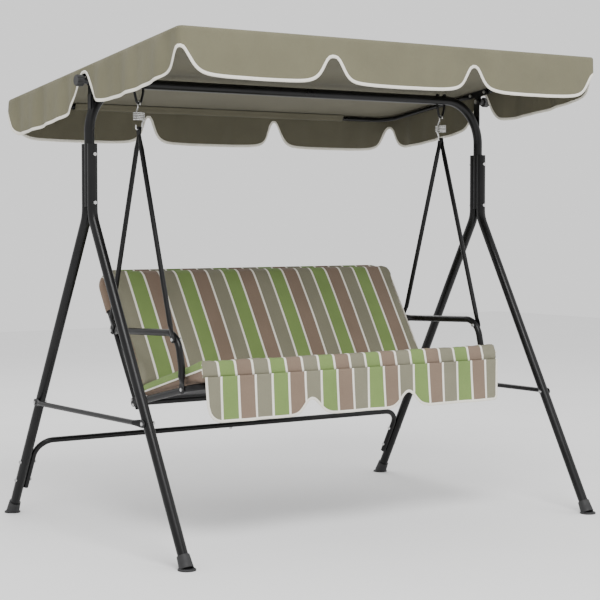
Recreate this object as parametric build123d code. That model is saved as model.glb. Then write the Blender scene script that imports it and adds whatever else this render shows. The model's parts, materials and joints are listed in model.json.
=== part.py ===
from build123d import *
import os
from math import cos, hypot, pi, sin

os.makedirs("parts", exist_ok=True)

# Canopy swing bench, in millimetres. X runs across the bench, -Y is its front and +Z is up.
# The origin is on the floor, midway between the four feet. Parts are drawn on the +X side,
# and the -X side is their mirror image.

# Tubes and sheet
WALL = 1.2                 # wall of every tube
TAB = 2.6                  # thickness of a flattened tube end
FIT = 0.05                 # radial clearance of a pin or spigot in its hole
SEAM = 0.1                 # gap between parts that are bolted face to face
TAB_FLAT = 3.0             # flat run of a tab beyond its round end's width
DRILL = 30.0               # reach of a drilled cut on each side of a tube's axis

# Legs and feet
LEG_X = 800.0              # plane of each pair of legs
LEG_R = 16.0
LEG_Y = 18.5               # leg axis beside the post
LEG_TOP = 1240.0
SADDLE_LOW = 1042.0        # lower end of the pressed saddle that holds the top bar
BEND_Z = 1015.0
BEND_R = 100.0
FOOT_Y = 578.0             # leg axis where it meets the floor
LEG_END_Z = 14.0           # leg axis height at the tube's end, inside the foot
FLANGE_R = 27.0
FLANGE_H = 6.0
BOOT_LOW_R = 22.0
BOOT_TOP_R = 19.5
BOOT_LENGTH = 40.0
BOOT_START_Z = 4.0
SOCKET_DEPTH = 0.5         # the boot's socket goes this far past the tube's end
FLANGE_CHAMFER = 2.5
TRIM_BLOCK = 200.0         # side of the block that trims a boot at the floor

# Top bar: a straight middle and two elbows whose lower ends are the posts
BAR_R = 16.0
BAR_Z = 1433.5
ELBOW_R = 155.0
ELBOW_X = LEG_X - ELBOW_R - 2.0
SPIGOT_LENGTH = 60.0
POST_LOW = SADDLE_LOW + 1.0
POST_BOLTS_Z = (1207.0, 1057.0)

# Braces
BRACE_R = 8.0
BRACE_Z = 400.0
BRACE_X = 822.0
BRACE_TAB_WIDTH = 24.0
BRACE_TAPER = 45.0         # from the bolt to where the brace is round
CROSSBAR_R = 9.5
CROSSBAR_Z = 259.0
CROSSBAR_END_Z = 93.0
CROSSBAR_BEND_R = 60.0
CROSSBAR_BOLTS_Z = (186.0, 120.0)
CROSSBAR_JOINT_X = 20.0
CROSSBAR_SPIGOT = 45.0

# Hanger loops and springs
HANGER_X = 623.0
LOOP_ROD_R = 4.0
LOOP_HALF = 16.0           # half the spread of the loop's legs
LOOP_BEND_Z = 1408.0
LOOP_TIP_Z = 1346.5        # where the two slanted legs would meet
LOOP_TIP_R = 9.0
LOOP_BEND_R = 12.0
LOOP_NUT_R = 7.5
SWING_Z = 1373.0           # axis of the swing: the bottom of the loop
WIRE_R = 2.5
COIL_R = 16.5
COIL_LOW = 1319.5
COIL_TOP = 1344.5
COIL_TURNS = 4.75
HOOK_R = LOOP_ROD_R + WIRE_R + 1.0
HOOK_HALF = 11.0           # half width of the lower hook
HOOK_Z = 1290.0            # lower hook's centreline
HOOK_BEND_R = 6.0
HOOK_LEG = 13.0            # straight of the upper hook below the swing axis
HOOK_TIP = 6.0
LOW_HOOK_RUN = 12.0        # from the coil down to where the lower hook is straight
LOW_HOOK_TIP = 14.0

# Canopy
PIVOT_Z = 1435.0           # tilt axis of the canopy
ROOF_SLOPE = 0.1308        # the roof drops this much per millimetre towards the back
ROOF_Z = 1476.8            # fold height at Y = 0
ROOF_FRONT = -575.0
ROOF_BACK = 549.0
ROOF_HALF = 820.0
CLOTH = 2.0
RAIL_R = 8.0
RAIL_Z = 1463.6            # rail axis at Y = 0
RAIL_FRONT = -560.0
RAIL_BACK = 537.0
RAIL_CORNER_R = 70.0
RAIL_TAB_Y = 38.0          # bolts of the side rails
RAIL_TAB_WIDTH = 20.0
LOBE_SIDE = 42.0           # run of a scallop's slanted side
LOBE_R = 40.0
NOTCH_R = 6.0
FRONT_NOTCH_X = 280.0
FRONT_PEAKS = (60.0, 62.0, 62.0, 60.0)
FRONT_DROP = 143.0
BACK_NOTCH_X = 272.0
BACK_PEAKS = (38.0, 37.0, 37.0, 38.0)
BACK_DROP = 133.0
SIDE_NOTCH_Y = -4.0
SIDE_PEAKS = (57.0, 26.0, 38.0)
SIDE_DROP = 137.0
RAIL_TAPER = 42.0          # from a side rail's bolt to where the rail is round
EAR_X = 792.0
EAR_T = 4.0
EAR_HALF = 14.0
EAR_LOW_Z = 1353.5
EAR_RIB = (4.0, 20.0, 50.0)
EAR_RIB_Z = 1370.0
WASHER_T = 2.0
WASHER_R = 9.0
BRACKET_X = EAR_X + EAR_T + WASHER_T
BRACKET_T = 4.0
BRACKET_PAST = 3.0         # the bracket's round ends lie this far past its bolts
BRACKET_LOBE_WIDTH = 30.0
BRACKET_LOBE_TOP = 1457.6
KNOB_X = 803.0
KNOB_HEAD_X = 822.0
KNOB_END_X = 846.0
KNOB_R = 18.0
KNOB_BOSS_R = 10.0
KNOB_FLUTES = 8
KNOB_FLUTE_R = 4.5
KNOB_FLUTE_OUT = 1.5       # the flutes' axes lie this far outside the head
KNOB_EDGE_R = 3.0
KNOB_BORE = 10.0           # depth of the bolt's hole into the head
KNOB_BOLT = 8.0            # the bolt ends this deep in the head
KNOB_CLEAR = 3.0           # radial gap between a knob and the cloth

# Seat and back frames
SEAT_X = 598.0
SEAT_R = 11.0
SEAT_CORNER_R = 60.0
SEAT_SLOPE = 0.218         # rise per millimetre towards the front
SEAT_FRONT_Y = -303.0
SEAT_TUBE_END_Y = 16.0     # the side rails are round up to here
PILOT_R = 1.0              # locating hole between a corner's two bolts
RECLINE = 0.6125           # the back leans back this much per millimetre of height
JOINT_YZ = (66.2, 413.3)   # where the seat and back tubes cross
BACK_TOP_Z = 820.0
BACK_LOW_Z = 394.5
REAR_RAIL_YZ = (85.0, 409.5)
PLATE_WIDTH = 30.0
CORNER_BOLT_STEP = 9.0
SLING_HALF = 525.0
SLING_T = 2.0
SLING_GAP = 0.3

# Armrests and hanger rods
ARM_X = 612.0
ARM_R = 11.0
ARM_TAB_WIDTH = 27.0
ARM_BACK_Z = 639.0
ARM_CORNER = (-214.3, 653.4)
ARM_KNEE = (-242.0, 541.0)
ARM_CORNER_R = 70.0
ARM_KNEE_R = 100.0
ARM_FOOT_Y = -238.0
ARM_BACK_TAPER = 48.0
ARM_FOOT_TAPER = 40.0
ROD_R = 8.0
ROD_TAB_WIDTH = 22.0
ROD_TOP_TAPER = 62.0       # from the top hole to where the rod is round
ROD_LOW_TAPER = 46.0
ROD_HOLE_R = 4.0
ROD_TOP_SHIFT = 2.0        # the two rods of a side hang 2 mm either side of the hook's middle
ROD_TOP_Z = HOOK_Z + WIRE_R - ROD_HOLE_R + SEAM
ROD_FRONT_YZ = (-207.5, 633.0)

# Cushions
SEAT_CUSHION_HALF = 598.0
BACK_CUSHION_HALF = 590.0
SOFT_GAP = 1.0             # air between a soft solid and what it lies on
SOFT_FILLET = 12.0
SEAT_TOP_FRONT = (-327.0, 574.0)
SEAT_LOW_FRONT_Y = -342.0
MEET_TOP = (37.0, 475.0)   # where the seat and back cushions meet on top
MEET_LOW = (53.0, 430.0)
BACK_FACE_SLOPE = 0.6215
BACK_FACE_TOP_Z = 839.0
BACK_THICK = 40.0
BACK_LOW_LIFT = 6.0        # the back cushion's lower rear edge above the seat cushion's
HOOD_LOW_Z = 700.0
HOOD_T = 2.5
HOOD_HALF = 613.0
HOOD_LAP = 1.0             # the hood's ends stop this far short of the cushion
HOOD_CUT = 40.0            # reach of the cuts that open the hood's front
SKIRT_TOP = (-343.5, 524.5)
SKIRT_DEPTH = 144.5
SKIRT_LEAN = 0.062         # forward run per millimetre of drop
SKIRT_HALF = 590.0
SKIRT_NOTCH_X = 198.0
SKIRT_NOTCH = 91.5
SKIRT_CORNER_RISE = 60.0
SKIRT_LOBE_SIDE = 40.0
SKIRT_LOBE_R = 30.0
SKIRT_T = 2.5

# Fasteners
BOLT_R = 3.0
PIVOT_BOLT_R = 4.0
PIVOT_HEAD_R = 8.0
PIVOT_HEAD_H = 5.0
HEAD_R = 6.0
HEAD_H = 4.0
CORNER_HEAD_R = 5.5
SCREW_HEAD_R = 5.0
SCREW_HEAD_H = 2.0
NUT_H = 5.0
BOLT_PAST = 2.0            # bolt end beyond its nut


# ---------------------------------------------------------------- helpers

def save(name, *solids):
    """Write one node; several solids stay separate in it."""
    shape = solids[0] if len(solids) == 1 else Compound(children=list(solids))
    export_step(shape, f"parts/{name}.step")


def mirrored(shape):
    return mirror(shape, about=Plane.YZ)


def save_pair(name, shape):
    """Write the +X part and its mirror image."""
    save(f"{name}_right", shape)
    save(f"{name}_left", mirrored(shape))


def bar_along(path, radius):
    """A round bar along a path of lines and tangent arcs."""
    section = Plane(origin=path @ 0, z_dir=path % 0) * Circle(radius)
    return sweep(section, path=path)


def tube_along(path, radius):
    return bar_along(path, radius) - bar_along(path, radius - WALL)


def pin(start, direction, length, radius):
    """A cylinder from a point along a direction."""
    plane = Plane(origin=start, z_dir=direction)
    return extrude(plane * Circle(radius), length)


def slab_x(sketch, x, thickness):
    """Extrude a sketch drawn in Y and Z from the plane at x, towards +X."""
    plane = Plane(origin=(x, 0, 0), x_dir=(0, 1, 0), z_dir=(1, 0, 0))
    return extrude(plane * sketch, thickness)


def slot_between(start, end, width):
    """A flat slot with round ends, from one point to another."""
    length = hypot(end[0] - start[0], end[1] - start[1])
    middle = ((start[0] + end[0]) / 2, (start[1] + end[1]) / 2)
    along = Plane(origin=(*middle, 0), x_dir=(end[0] - start[0], end[1] - start[1], 0))
    ends = Pos(*start) * Circle(width / 2) + Pos(*end) * Circle(width / 2)
    return along * Rectangle(length, width) + ends


def flat_end(tube_end, hole, radius, width, hole_radius=BOLT_R + SEAM):
    """A tube's flattened end, facing along X: a taper from the round tube, then a flat tab.

    tube_end is the centre of the round tube's end and hole the centre of the tab's hole.
    """
    along = Vector(0, hole[1] - tube_end[1], hole[2] - tube_end[2]).normalized()
    flat_start = Vector(*hole) - along * (width / 2 + TAB_FLAT)
    round_face = Plane(origin=tube_end, x_dir=(1, 0, 0), z_dir=along) * Circle(radius)
    flat_plane = Plane(origin=flat_start, x_dir=(1, 0, 0), z_dir=along)
    flat_face = flat_plane * Ellipse(TAB / 2, width / 2)
    taper = loft([round_face, flat_face])
    outline = slot_between((flat_start.Y, flat_start.Z), (hole[1], hole[2]), width)
    square = Plane(origin=(flat_start.Y, flat_start.Z, 0), x_dir=(along.Y, along.Z, 0))
    outline = outline - square * Pos(-width / 2, 0) * Rectangle(width, 2 * width)
    tab = slab_x(outline, hole[0] - TAB / 2, TAB)
    cut = pin((hole[0] - width, hole[1], hole[2]), (1, 0, 0), 2 * width, hole_radius)
    return taper + tab - cut


def hexagon(start, direction, height, radius):
    plane = Plane(origin=start, z_dir=direction)
    return extrude(plane * RegularPolygon(radius, 6), height)


def bolt(seat, direction, grip, radius=BOLT_R, head=HEAD_R):
    """A hexagon bolt and its nut, as two solids. seat is the point under the head."""
    seat = Vector(*seat)
    direction = Vector(*direction)
    shank = pin(seat, direction, grip + NUT_H + BOLT_PAST, radius)
    top = hexagon(seat, direction * -1, HEAD_H, head)
    nut_at = seat + direction * grip
    nut = hexagon(nut_at, direction, NUT_H, head) - pin(nut_at, direction, NUT_H, radius + FIT)
    return [shank + top, nut]


def leg_y(z):
    """Distance of a leg's axis from the middle plane, below the bend."""
    return LEG_Y + (FOOT_Y - LEG_Y) * (BEND_Z - z) / BEND_Z


def rail_z(y):
    return RAIL_Z - ROOF_SLOPE * y


def roof_z(y):
    return ROOF_Z - ROOF_SLOPE * y


def seat_rail_z(y):
    return JOINT_YZ[1] + SEAT_SLOPE * (JOINT_YZ[0] - y)


def back_tube_y(z):
    return JOINT_YZ[0] + RECLINE * (z - JOINT_YZ[1])


def along_x(y, z, radius, low, high):
    """A cylinder along X at a given Y and Z."""
    return pin((low, y, z), (1, 0, 0), high - low, radius)


# ---------------------------------------------------------------- frame

def leg(front):
    """A bent tube leg. Its top is pressed into a saddle that cups the post."""
    side = -1 if front else 1
    top = (LEG_X, side * LEG_Y, SADDLE_LOW)
    bend = (LEG_X, side * LEG_Y, BEND_Z)
    end = (LEG_X, side * leg_y(LEG_END_Z), LEG_END_Z)
    tube = tube_along(FilletPolyline(top, bend, end, radius=BEND_R), LEG_R)
    shelf = pin(top, (0, 0, -1), WALL, LEG_R)
    cup_r = BAR_R + FIT
    outer = Pos(0, side * LEG_Y) * Circle(LEG_R) - Circle(cup_r)
    hollow = Pos(0, side * LEG_Y) * Circle(LEG_R - WALL) - Circle(cup_r + WALL)
    saddle_plane = Plane(origin=(LEG_X, 0, SADDLE_LOW))
    saddle = extrude(saddle_plane * (outer - hollow), LEG_TOP - SADDLE_LOW)
    shape = tube + shelf + saddle
    for z in POST_BOLTS_Z:
        shape -= pin((LEG_X, -2 * LEG_Y, z), (0, 1, 0), 4 * LEG_Y, BOLT_R + SEAM)
    shape -= along_x(side * leg_y(BRACE_Z), BRACE_Z, BOLT_R + SEAM, LEG_X - DRILL, LEG_X + DRILL)
    if not front:
        for z in CROSSBAR_BOLTS_Z:
            shape -= along_x(leg_y(z), z, BOLT_R + SEAM, LEG_X - DRILL, LEG_X + DRILL)
    return shape


def foot(front):
    """A rubber boot on the end of a leg, with a flat round flange on the floor."""
    side = -1 if front else 1
    slope = (FOOT_Y - LEG_Y) / BEND_Z
    up = Vector(0, -side * slope, 1).normalized()
    boot_start = Vector(LEG_X, side * leg_y(BOOT_START_Z), BOOT_START_Z)
    boot_top = boot_start + up * BOOT_LENGTH
    low_face = Plane(origin=boot_start, z_dir=up) * Circle(BOOT_LOW_R)
    top_face = Plane(origin=boot_top, z_dir=up) * Circle(BOOT_TOP_R)
    boot = loft([low_face, top_face])
    below = Pos(LEG_X, side * FOOT_Y, -TRIM_BLOCK / 2) * Box(TRIM_BLOCK, TRIM_BLOCK, TRIM_BLOCK)
    flange = Pos(LEG_X, side * FOOT_Y, FLANGE_H / 2) * Cylinder(FLANGE_R, FLANGE_H)
    flange = chamfer(flange.edges().group_by(Axis.Z)[-1], FLANGE_CHAMFER)
    socket_z = LEG_END_Z - SOCKET_DEPTH
    socket_at = (LEG_X, side * leg_y(socket_z), socket_z)
    return boot - below + flange - pin(socket_at, up, 2 * BOOT_LENGTH, LEG_R + FIT)


def loop_holes(shape, radius):
    """Drill the two upright holes of the hanger loop, on the +X side."""
    for x in (HANGER_X - LOOP_HALF, HANGER_X + LOOP_HALF):
        shape -= pin((x, 0, BAR_Z - DRILL), (0, 0, 1), 2 * DRILL, radius)
    return shape


def top_bar_middle():
    tube = tube_along(Line((-ELBOW_X, 0, BAR_Z), (ELBOW_X, 0, BAR_Z)), BAR_R)
    tube = loop_holes(tube, LOOP_ROD_R + SEAM)
    return mirrored(loop_holes(mirrored(tube), LOOP_ROD_R + SEAM))


def elbow_outline():
    """The solid outer shape of an elbow, from its shoulder to the lower end of the post."""
    start = (ELBOW_X, 0, BAR_Z)
    corner = (LEG_X, 0, BAR_Z)
    end = (LEG_X, 0, POST_LOW)
    return FilletPolyline(start, corner, end, radius=ELBOW_R)


def top_bar_end():
    """An elbow: a swaged spigot inside the middle tube, a bend and the upright post."""
    shape = tube_along(elbow_outline(), BAR_R)
    spigot_r = BAR_R - WALL - FIT
    start = (ELBOW_X - SPIGOT_LENGTH, 0, BAR_Z)
    spigot = pin(start, (1, 0, 0), SPIGOT_LENGTH + WALL, spigot_r)
    shoulder = pin((ELBOW_X, 0, BAR_Z), (1, 0, 0), WALL, BAR_R)
    bore = pin(start, (1, 0, 0), SPIGOT_LENGTH + WALL, spigot_r - WALL)
    shape = shape + (spigot + shoulder - bore)
    for z in POST_BOLTS_Z:
        shape -= pin((LEG_X, -2 * BAR_R, z), (0, 1, 0), 4 * BAR_R, BOLT_R + SEAM)
    return loop_holes(shape, LOOP_ROD_R + SEAM)


def side_brace():
    """A tube across the outside of a pair of legs, with flattened ends."""
    bolt_y = leg_y(BRACE_Z)
    round_y = bolt_y - BRACE_TAPER
    tab_x = LEG_X + LEG_R + SEAM + TAB / 2
    tube = tube_along(Line((BRACE_X, -round_y, BRACE_Z), (BRACE_X, round_y, BRACE_Z)), BRACE_R)
    for side in (-1, 1):
        tube_end = (BRACE_X, side * round_y, BRACE_Z)
        hole = (tab_x, side * bolt_y, BRACE_Z)
        tube += flat_end(tube_end, hole, BRACE_R, BRACE_TAB_WIDTH)
    return tube


def rear_crossbar(side):
    """Half of the bar between the back legs. It turns down inside a leg and is bolted to it."""
    x = side * (LEG_X - LEG_R - CROSSBAR_R - SEAM)
    low = (x, leg_y(CROSSBAR_END_Z), CROSSBAR_END_Z)
    corner = (x, leg_y(CROSSBAR_Z), CROSSBAR_Z)
    inner_x = CROSSBAR_JOINT_X
    end = (inner_x, corner[1], CROSSBAR_Z)
    tube = tube_along(FilletPolyline(low, corner, end, radius=CROSSBAR_BEND_R), CROSSBAR_R)
    if side > 0:
        spigot_r = CROSSBAR_R - WALL - FIT
        start = (inner_x - CROSSBAR_SPIGOT, corner[1], CROSSBAR_Z)
        spigot = pin(start, (1, 0, 0), CROSSBAR_SPIGOT + WALL, spigot_r)
        shoulder = pin(end, (1, 0, 0), WALL, CROSSBAR_R)
        bore = pin(start, (1, 0, 0), CROSSBAR_SPIGOT + WALL, spigot_r - WALL)
        tube = tube + (spigot + shoulder - bore)
    tube -= pin((0, corner[1], CROSSBAR_Z - DRILL), (0, 0, 1), 2 * DRILL, BOLT_R + SEAM)
    for z in CROSSBAR_BOLTS_Z:
        tube -= along_x(leg_y(z), z, BOLT_R + SEAM, x - DRILL, x + DRILL)
    return tube


def hanger_loop():
    """A bent rod through the top bar that the spring hooks on to, and its two nuts."""
    low_x = HANGER_X - LOOP_HALF
    high_x = HANGER_X + LOOP_HALF
    rod_top = BAR_Z + BAR_R + NUT_H + BOLT_PAST
    points = [
        (low_x, 0, rod_top),
        (low_x, 0, LOOP_BEND_Z),
        (HANGER_X, 0, LOOP_TIP_Z),
        (high_x, 0, LOOP_BEND_Z),
        (high_x, 0, rod_top),
    ]
    rod = bar_along(FilletPolyline(*points, radius=[LOOP_BEND_R, LOOP_TIP_R, LOOP_BEND_R]), LOOP_ROD_R)
    nuts = []
    for x in (low_x, high_x):
        seat = (x, 0, BAR_Z + BAR_R)
        nut = hexagon(seat, (0, 0, 1), NUT_H, LOOP_NUT_R)
        nuts.append(nut - pin(seat, (0, 0, 1), NUT_H, LOOP_ROD_R + FIT))
    return [rod, *nuts]


def canopy_ear():
    """The lug on an elbow that carries the canopy's pivot bolt."""
    plate = slab_x(slot_between((0, PIVOT_Z), (0, EAR_LOW_Z), 2 * EAR_HALF), EAR_X, EAR_T)
    rib = Pos(EAR_X + EAR_T + EAR_RIB[0] / 2, 0, EAR_RIB_Z) * Box(*EAR_RIB)
    hole = along_x(0, PIVOT_Z, PIVOT_BOLT_R + FIT, EAR_X - DRILL, EAR_X + DRILL)
    return plate + rib - bar_along(elbow_outline(), BAR_R + FIT) - hole


def pivot_bolt():
    """The bolt that the canopy tilts on, and the washer between lug and bracket."""
    head = hexagon((EAR_X - SEAM, 0, PIVOT_Z), (-1, 0, 0), PIVOT_HEAD_H, PIVOT_HEAD_R)
    shank = along_x(0, PIVOT_Z, PIVOT_BOLT_R, EAR_X - SEAM, KNOB_HEAD_X + KNOB_BOLT)
    ring = along_x(0, PIVOT_Z, WASHER_R, EAR_X + EAR_T, BRACKET_X - SEAM)
    ring -= along_x(0, PIVOT_Z, PIVOT_BOLT_R + FIT, EAR_X, BRACKET_X)
    return [head + shank, ring]


def knob():
    """A round grip nut with finger flutes, on the end of the pivot bolt."""
    boss = along_x(0, PIVOT_Z, KNOB_BOSS_R, KNOB_X, KNOB_HEAD_X)
    head = along_x(0, PIVOT_Z, KNOB_R, KNOB_HEAD_X, KNOB_END_X)
    head = fillet(head.edges().filter_by(GeomType.CIRCLE), KNOB_EDGE_R)
    for i in range(KNOB_FLUTES):
        angle = 2 * pi * (i + 0.5) / KNOB_FLUTES
        y = (KNOB_R + KNOB_FLUTE_OUT) * cos(angle)
        z = PIVOT_Z + (KNOB_R + KNOB_FLUTE_OUT) * sin(angle)
        head -= along_x(y, z, KNOB_FLUTE_R, KNOB_HEAD_X, KNOB_END_X)
    bore = along_x(0, PIVOT_Z, PIVOT_BOLT_R + FIT, KNOB_X, KNOB_HEAD_X + KNOB_BORE)
    return boss + head - bore


def post_bolts():
    grip = 2 * (LEG_Y + LEG_R)
    solids = []
    for x in (-LEG_X, LEG_X):
        for z in POST_BOLTS_Z:
            solids += bolt((x, -LEG_Y - LEG_R, z), (0, 1, 0), grip)
    return solids


def brace_bolts():
    head_x = LEG_X + LEG_R + SEAM + TAB
    grip = 2 * LEG_R + SEAM + TAB
    solids = []
    for side in (-1, 1):
        for y in (-leg_y(BRACE_Z), leg_y(BRACE_Z)):
            solids += bolt((side * head_x, y, BRACE_Z), (-side, 0, 0), grip)
    return solids


def crossbar_bolts():
    head_x = LEG_X - LEG_R - SEAM - 2 * CROSSBAR_R
    grip = 2 * LEG_R + 2 * CROSSBAR_R + SEAM
    solids = []
    for side in (-1, 1):
        for z in CROSSBAR_BOLTS_Z:
            solids += bolt((side * head_x, leg_y(z), z), (side, 0, 0), grip)
    top = (0, leg_y(CROSSBAR_Z), CROSSBAR_Z + CROSSBAR_R)
    return solids + bolt(top, (0, 0, -1), 2 * CROSSBAR_R)


# ---------------------------------------------------------------- springs

def spring():
    """A tension spring: close coils, a hook over the loop and a hook through the rods."""
    helix = Helix((COIL_TOP - COIL_LOW) / COIL_TURNS, COIL_TOP - COIL_LOW, COIL_R)
    section = Plane(origin=helix @ 0, z_dir=helix % 0) * Circle(WIRE_R)
    coil = Pos(0, 0, COIL_LOW) * Rot(0, 0, 180) * sweep(section, path=helix, is_frenet=True)
    leg_top = (0, HOOK_R, SWING_Z)
    leg_low = (0, HOOK_R, SWING_Z - HOOK_LEG)
    rise = FilletPolyline((0, COIL_R, COIL_TOP), leg_low, leg_top, radius=HOOK_BEND_R)
    crown = ThreePointArc(leg_top, (0, 0, SWING_Z + HOOK_R), (0, -HOOK_R, SWING_Z))
    tip = Line((0, -HOOK_R, SWING_Z), (0, -HOOK_R, SWING_Z - HOOK_TIP))
    upper = bar_along(Wire([*rise.edges(), crown, tip]), WIRE_R)
    lower_path = FilletPolyline(
        (-COIL_R, 0, COIL_LOW),
        (-HOOK_HALF, 0, COIL_LOW - LOW_HOOK_RUN),
        (-HOOK_HALF, 0, HOOK_Z),
        (HOOK_HALF, 0, HOOK_Z),
        (HOOK_HALF, 0, HOOK_Z + LOW_HOOK_TIP),
        radius=HOOK_BEND_R,
    )
    lower = bar_along(lower_path, WIRE_R)
    joints = Pos(0, COIL_R, COIL_TOP) * Sphere(WIRE_R) + Pos(-COIL_R, 0, COIL_LOW) * Sphere(WIRE_R)
    return Pos(HANGER_X, 0, 0) * (coil + upper + lower + joints)


# ---------------------------------------------------------------- canopy

def canopy_bar(front, side):
    """A quarter of the canopy's rail frame, as its straight cross rail, bend and side rail.

    The three meet face to face. The side rail's end is flattened and bolted to a bracket.
    """
    edge_y = RAIL_FRONT if front else RAIL_BACK
    toward = 1 if edge_y > 0 else -1
    round_y = toward * (RAIL_TAB_Y + RAIL_TAPER)
    x = side * LEG_X
    start = (0, edge_y, rail_z(edge_y))
    corner = (x, edge_y, rail_z(edge_y))
    end = (x, round_y, rail_z(round_y))
    path = FilletPolyline(start, corner, end, radius=RAIL_CORNER_R)
    runs = sorted(path.edges(), key=lambda edge: abs((edge @ 0.5).Y), reverse=True)
    cross, bend, arm = [tube_along(run, RAIL_R) for run in runs]
    tab_x = side * (BRACKET_X + BRACKET_T + SEAM + TAB / 2)
    hole = (tab_x, toward * RAIL_TAB_Y, rail_z(toward * RAIL_TAB_Y))
    arm += flat_end(end, hole, RAIL_R, RAIL_TAB_WIDTH)
    if side > 0:
        spigot_r = RAIL_R - WALL - FIT
        low_x = -CROSSBAR_SPIGOT
        spigot = along_x(edge_y, rail_z(edge_y), spigot_r, low_x, WALL)
        shoulder = along_x(edge_y, rail_z(edge_y), RAIL_R, 0, WALL)
        bore = along_x(edge_y, rail_z(edge_y), spigot_r - WALL, low_x, WALL)
        cross = cross + (spigot + shoulder - bore)
    screw_at = (-CROSSBAR_SPIGOT / 2, edge_y, rail_z(edge_y) - 2 * RAIL_R)
    cross -= pin(screw_at, (0, 0, 1), 4 * RAIL_R, BOLT_R + SEAM)
    return [cross, bend, arm]


def canopy_bracket():
    """The plate that joins two side rails and hangs on the pivot bolt."""
    half = RAIL_TAB_Y + BRACKET_PAST
    rail = slot_between((-half, rail_z(-half)), (half, rail_z(half)), RAIL_TAB_WIDTH)
    lobe = slot_between((0, PIVOT_Z), (0, BRACKET_LOBE_TOP), BRACKET_LOBE_WIDTH)
    plate = slab_x(rail + lobe, BRACKET_X, BRACKET_T)
    plate -= along_x(0, PIVOT_Z, PIVOT_BOLT_R + FIT, BRACKET_X - DRILL, BRACKET_X + DRILL)
    for y in (-RAIL_TAB_Y, RAIL_TAB_Y):
        plate -= along_x(y, rail_z(y), BOLT_R + SEAM, BRACKET_X - DRILL, BRACKET_X + DRILL)
    return plate


def canopy_frame_bolts():
    solids = []
    head_x = BRACKET_X + BRACKET_T + SEAM + TAB
    for side in (-1, 1):
        for y in (-RAIL_TAB_Y, RAIL_TAB_Y):
            solids += bolt((side * head_x, y, rail_z(y)), (-side, 0, 0), BRACKET_T + SEAM + TAB)
    for y in (RAIL_FRONT, RAIL_BACK):
        low = (-CROSSBAR_SPIGOT / 2, y, rail_z(y) - RAIL_R)
        head = hexagon(low, (0, 0, -1), SCREW_HEAD_H, SCREW_HEAD_R)
        solids.append(pin(low, (0, 0, 1), RAIL_R, BOLT_R) + head)
    return solids


def scallops(notches, peaks, drop, fold, side_run=LOBE_SIDE, radius=LOBE_R):
    """A hanging flap, drawn along its length and in Z.

    notches are the places of the notches, ends included, and peaks how far each lies below
    the fold. Between two notches hangs a lobe with slanted sides and a straight hem.
    """
    points = [(notches[0], fold(notches[0]) - peaks[0])]
    radii = []
    for i in range(len(notches) - 1):
        left = notches[i] + side_run
        right = notches[i + 1] - side_run
        points.append((left, fold(left) - drop))
        points.append((right, fold(right) - drop))
        points.append((notches[i + 1], fold(notches[i + 1]) - peaks[i + 1]))
        radii += [radius, radius, NOTCH_R]
    hem = FilletPolyline(*points, radius=radii[:-1])
    first = (notches[0], fold(notches[0]))
    last = (notches[-1], fold(notches[-1]))
    return make_face([*hem.edges(), Line(points[-1], last), Line(last, first), Line(first, points[0])])


def canopy_fabric():
    """The cover: a sloping roof and four scalloped flaps."""
    corners = [
        (ROOF_FRONT, roof_z(ROOF_FRONT)),
        (ROOF_BACK, roof_z(ROOF_BACK)),
        (ROOF_BACK, roof_z(ROOF_BACK) - CLOTH),
        (ROOF_FRONT, roof_z(ROOF_FRONT) - CLOTH),
    ]
    cover = slab_x(make_face(Polyline(*corners, close=True)), -ROOF_HALF, 2 * ROOF_HALF)
    front_notches = (-ROOF_HALF, -FRONT_NOTCH_X, FRONT_NOTCH_X, ROOF_HALF)
    front = scallops(front_notches, FRONT_PEAKS, FRONT_DROP, lambda x: roof_z(ROOF_FRONT))
    front_plane = Plane(origin=(0, ROOF_FRONT, 0), x_dir=(1, 0, 0), z_dir=(0, -1, 0))
    cover += extrude(front_plane * front, -CLOTH)
    back_notches = (-ROOF_HALF, -BACK_NOTCH_X, BACK_NOTCH_X, ROOF_HALF)
    back = scallops(back_notches, BACK_PEAKS, BACK_DROP, lambda x: roof_z(ROOF_BACK))
    back_plane = Plane(origin=(0, ROOF_BACK, 0), x_dir=(1, 0, 0), z_dir=(0, -1, 0))
    cover += extrude(back_plane * back, CLOTH)
    side = scallops((ROOF_FRONT, SIDE_NOTCH_Y, ROOF_BACK), SIDE_PEAKS, SIDE_DROP, roof_z)
    for x in (-ROOF_HALF, ROOF_HALF - CLOTH):
        cover += slab_x(side, x, CLOTH)
    return cover - along_x(0, PIVOT_Z, KNOB_R + KNOB_CLEAR, -ROOF_HALF - DRILL, ROOF_HALF + DRILL)


# ---------------------------------------------------------------- seat

def seat_frame():
    """The seat's tube: two side rails and the front rail, with flattened rear ends."""
    low = (SEAT_X, SEAT_TUBE_END_Y, seat_rail_z(SEAT_TUBE_END_Y))
    corner = (SEAT_X, SEAT_FRONT_Y, seat_rail_z(SEAT_FRONT_Y))
    points = [low, corner, (-SEAT_X, *corner[1:]), (-SEAT_X, *low[1:])]
    tube = tube_along(FilletPolyline(*points, radius=SEAT_CORNER_R), SEAT_R)
    tab_x = SEAT_X + SEAT_R + SEAM + TAB / 2
    end = flat_end(low, (tab_x, *JOINT_YZ), SEAT_R, PLATE_WIDTH, PILOT_R)
    shape = tube + end + mirrored(end)
    for y, z in corner_bolt_places():
        shape -= along_x(y, z, BOLT_R + SEAM, -SEAT_X - DRILL, SEAT_X + DRILL)
    shape -= along_x(ARM_FOOT_Y, seat_rail_z(ARM_FOOT_Y), BOLT_R + SEAM, -SEAT_X - DRILL, SEAT_X + DRILL)
    return shape


def corner_bolt_places():
    """The two bolts of a corner joint, along the back tube."""
    length = hypot(RECLINE, 1)
    step_y = CORNER_BOLT_STEP * RECLINE / length
    step_z = CORNER_BOLT_STEP / length
    y, z = JOINT_YZ
    return [(y + step_y, z + step_z), (y - step_y, z - step_z)]


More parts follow.
